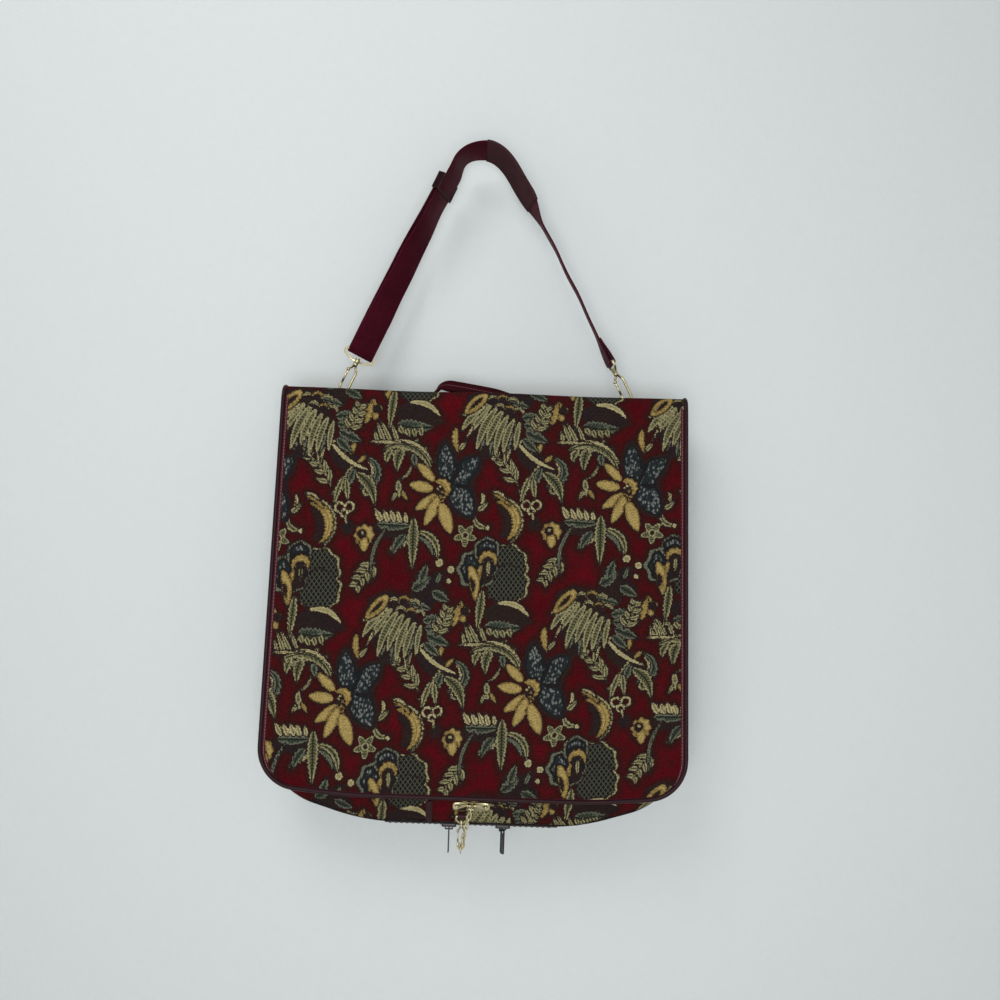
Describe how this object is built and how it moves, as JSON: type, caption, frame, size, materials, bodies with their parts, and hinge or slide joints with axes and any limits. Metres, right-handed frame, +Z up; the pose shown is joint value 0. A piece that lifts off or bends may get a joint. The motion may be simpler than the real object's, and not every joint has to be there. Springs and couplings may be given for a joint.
{
  "type": "folded garment bag",
  "caption": "Bi-fold tapestry garment bag, zipped shut and hung by an adjustable webbing shoulder strap with snap hooks, zip pulls and a chain clip.",
  "frame": {"origin": "under the crown of the shoulder strap, where it hangs on a hook", "axes": "+X to the right seen from the front, +Y to the back, +Z up"},
  "size_m": [0.6014, 0.101, 1.0235],
  "materials": {
    "tapestry_cloth": "woven floral tapestry",
    "welt_vinyl": "satin vinyl",
    "strap_webbing": "ribbed webbing",
    "brass": "worn lacquered brass",
    "zip_tape": "fine woven tape",
    "zip_teeth": "matte",
    "black_zip_metal": "black enamel"
  },
  "bodies": {
    "bag": {"bag_body": "tapestry_cloth", "edge_piping": "welt_vinyl", "handle": "welt_vinyl", "handle_patches": "welt_vinyl", "clip_tab": "welt_vinyl", "shoulder_strap": "strap_webbing", "strap_return": "strap_webbing", "ring_tab_left": "strap_webbing", "ring_tab_right": "strap_webbing", "slot_plate": "brass", "plate_rivets": "brass", "strap_loop_left": "brass", "strap_loop_right": "brass", "strap_slide": "brass", "zip_tape": "zip_tape", "zip_teeth": "zip_teeth"},
    "ring_left": {"d_ring_left": "brass"},
    "ring_right": {"d_ring_right": "brass"},
    "hook_left": {"snap_hook_left": "brass"},
    "hook_right": {"snap_hook_right": "brass"},
    "gate_left": {"snap_gate_left": "brass"},
    "gate_right": {"snap_gate_right": "brass"},
    "slider_left": {"zip_slider_left": "black_zip_metal"},
    "slider_right": {"zip_slider_right": "black_zip_metal"},
    "pull_left": {"zip_pull_left": "black_zip_metal"},
    "pull_right": {"zip_pull_right": "black_zip_metal"},
    "chain": {"hanger_chain": "brass"},
    "clip_shackle": {"clip_loop": "brass"},
    "clip": {"clip_hook": "brass"},
    "clip_latch": {"clip_gate": "brass"}
  },
  "joints": [
    {"name": "ring_left_swing", "type": "hinge", "parent": "bag", "child": "ring_left", "pos_m": [-0.20299, 0, -0.36685], "axis": [0, 1, 0], "range_deg": [-5, 5]},
    {"name": "hook_left_swivel", "type": "hinge", "parent": "bag", "child": "hook_left", "pos_m": [-0.17919, 0, -0.3144], "axis": [0.4133, 0, 0.9106], "range_deg": [-25, 25]},
    {"name": "gate_left_open", "type": "hinge", "parent": "hook_left", "child": "gate_left", "pos_m": [-0.19137, 0, -0.326], "axis": [0, -1, 0], "range_deg": [0, 18], "stiffness_Nm_per_rad": 0.05, "springref_deg": -17.19},
    {"name": "ring_right_swing", "type": "hinge", "parent": "bag", "child": "ring_right", "pos_m": [0.22299, 0, -0.36685], "axis": [0, 1, 0], "range_deg": [-5, 5]},
    {"name": "hook_right_swivel", "type": "hinge", "parent": "bag", "child": "hook_right", "pos_m": [0.19627, 0, -0.31582], "axis": [-0.4639, 0, 0.8859], "range_deg": [-25, 25]},
    {"name": "gate_right_open", "type": "hinge", "parent": "hook_right", "child": "gate_right", "pos_m": [0.19793, 0, -0.33257], "axis": [0, -1, 0], "range_deg": [0, 18], "stiffness_Nm_per_rad": 0.05, "springref_deg": -17.19},
    {"name": "slider_left_run", "type": "slide", "parent": "bag", "child": "slider_left", "axis": [1, 0, 0], "range_m": [-0.07, 0]},
    {"name": "pull_left_swing", "type": "hinge", "parent": "slider_left", "child": "pull_left", "pos_m": [-0.021, -0.036, -0.9752], "axis": [0, 1, 0], "range_deg": [-45, 45]},
    {"name": "slider_right_run", "type": "slide", "parent": "bag", "child": "slider_right", "axis": [1, 0, 0], "range_m": [0, 0.06]},
    {"name": "pull_right_swing", "type": "hinge", "parent": "slider_right", "child": "pull_right", "pos_m": [0.055, -0.036, -0.9752], "axis": [-0.5736, 0.8192, 0], "range_deg": [-45, 45]},
    {"name": "clip_swing", "type": "hinge", "parent": "bag", "child": "clip_shackle", "pos_m": [-0.003, -0.04999, -0.95418], "axis": [1, 0, 0], "range_deg": [-18, 6]},
    {"name": "clip_swivel", "type": "hinge", "parent": "clip_shackle", "child": "clip", "pos_m": [-0.003, -0.04999, -0.96283], "axis": [0, 0, 1], "range_deg": [-15, 15]},
    {"name": "clip_gate_open", "type": "hinge", "parent": "clip", "child": "clip_latch", "pos_m": [-0.00754, -0.04999, -0.97414], "axis": [0, -1, 0], "range_deg": [0, 16], "stiffness_Nm_per_rad": 0.02, "springref_deg": -17.19},
    {"name": "chain_swing", "type": "hinge", "parent": "bag", "child": "chain", "pos_m": [0.01, -0.05667, -0.94157], "axis": [1, 0, 0], "range_deg": [-18, 6]}
  ],
  "couplings": [
    {"joint": "chain_swing", "follows": "clip_swing", "ratio": 0.76474}
  ]
}
